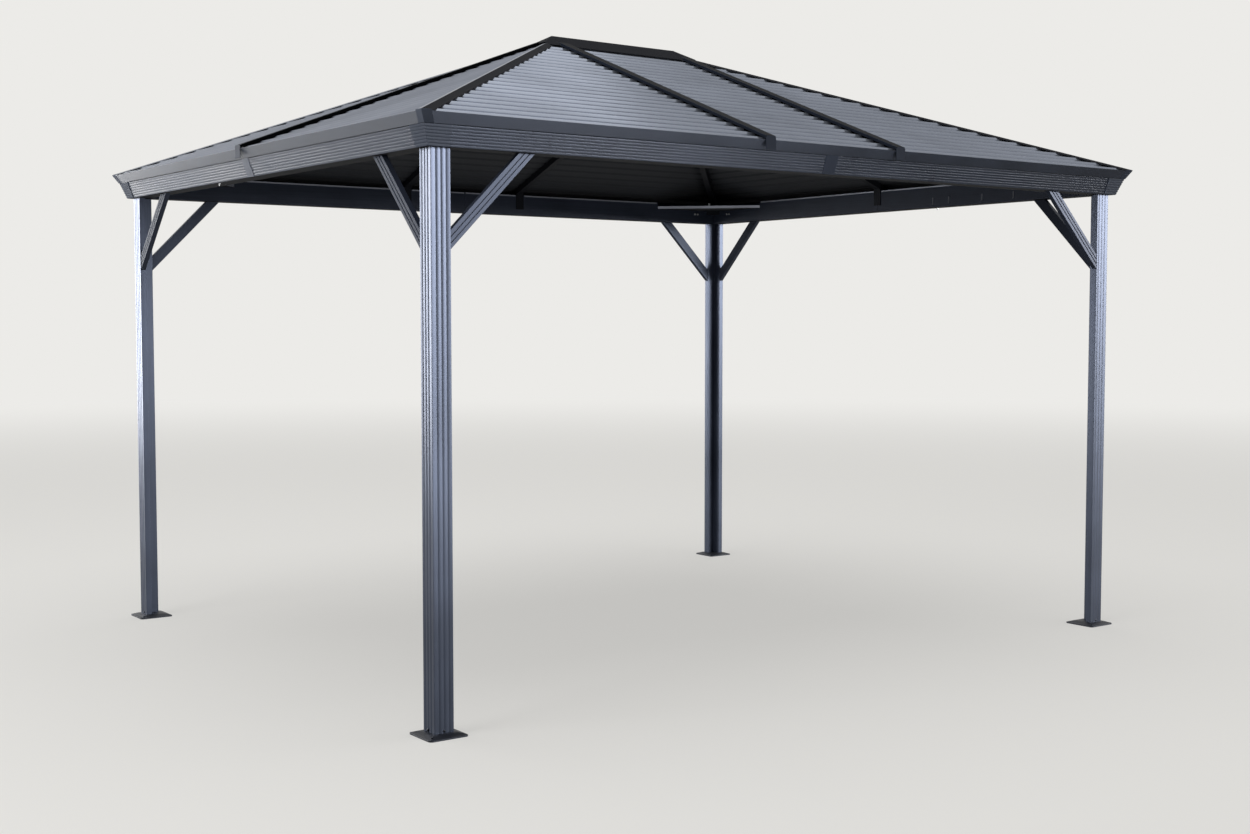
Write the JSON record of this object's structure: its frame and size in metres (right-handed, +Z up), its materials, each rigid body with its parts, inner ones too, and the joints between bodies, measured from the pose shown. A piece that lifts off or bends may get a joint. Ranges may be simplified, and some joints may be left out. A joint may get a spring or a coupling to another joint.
{
  "type": "metal gazebo",
  "caption": "Free-standing hard-top garden gazebo with corner posts, knee braces, ribbed eave beams and a hip roof of ribbed steel sheet.",
  "frame": {"origin": "middle of the footprint at ground level", "axes": "+X along the long side, +Y along the short side, +Z up"},
  "size_m": [3.6264, 2.9464, 2.6426],
  "materials": {
    "frame_coating": "anthracite powder coat on extruded aluminium, satin",
    "foot_casting": "dark powder coat on cast aluminium, satin",
    "trim_coating": "dark grey pre-painted galvanised steel, satin",
    "cap_coating": "dark grey pre-painted galvanised steel, satin",
    "roof_coating": "grey pre-painted galvanised steel sheet with pressed ribs, satin",
    "rafter_coating": "dark powder coat on steel, satin"
  },
  "bodies": {
    "root": {"post_front_left": "frame_coating", "post_foot_front_left": "foot_casting", "knee_braces_front_left": "frame_coating", "hip_cap_front_left": "cap_coating", "post_front_right": "frame_coating", "post_foot_front_right": "foot_casting", "knee_braces_front_right": "frame_coating", "hip_cap_front_right": "cap_coating", "post_back_left": "frame_coating", "post_foot_back_left": "foot_casting", "knee_braces_back_left": "frame_coating", "hip_cap_back_left": "cap_coating", "post_back_right": "frame_coating", "post_foot_back_right": "foot_casting", "knee_braces_back_right": "frame_coating", "hip_cap_back_right": "cap_coating", "eave_beam_front": "frame_coating", "eave_trim_front": "trim_coating", "roof_sheets_front": "roof_coating", "seam_caps_front": "cap_coating", "rafters_front": "rafter_coating", "eave_beam_right": "frame_coating", "eave_trim_right": "trim_coating", "roof_sheets_right": "roof_coating", "seam_caps_right": "cap_coating", "rafters_right": "rafter_coating", "eave_beam_back": "frame_coating", "eave_trim_back": "trim_coating", "roof_sheets_back": "roof_coating", "seam_caps_back": "cap_coating", "rafters_back": "rafter_coating", "eave_beam_left": "frame_coating", "eave_trim_left": "trim_coating", "roof_sheets_left": "roof_coating", "seam_caps_left": "cap_coating", "rafters_left": "rafter_coating", "corner_tie_plates": "rafter_coating", "beam_corner_covers": "frame_coating", "eave_corner_covers": "trim_coating", "hip_rafters": "rafter_coating", "beam_joint_covers": "frame_coating", "rafter_brackets": "rafter_coating", "ridge_beam": "rafter_coating", "ridge_hubs": "foot_casting", "ridge_cap": "cap_coating"}
  },
  "joints": []
}
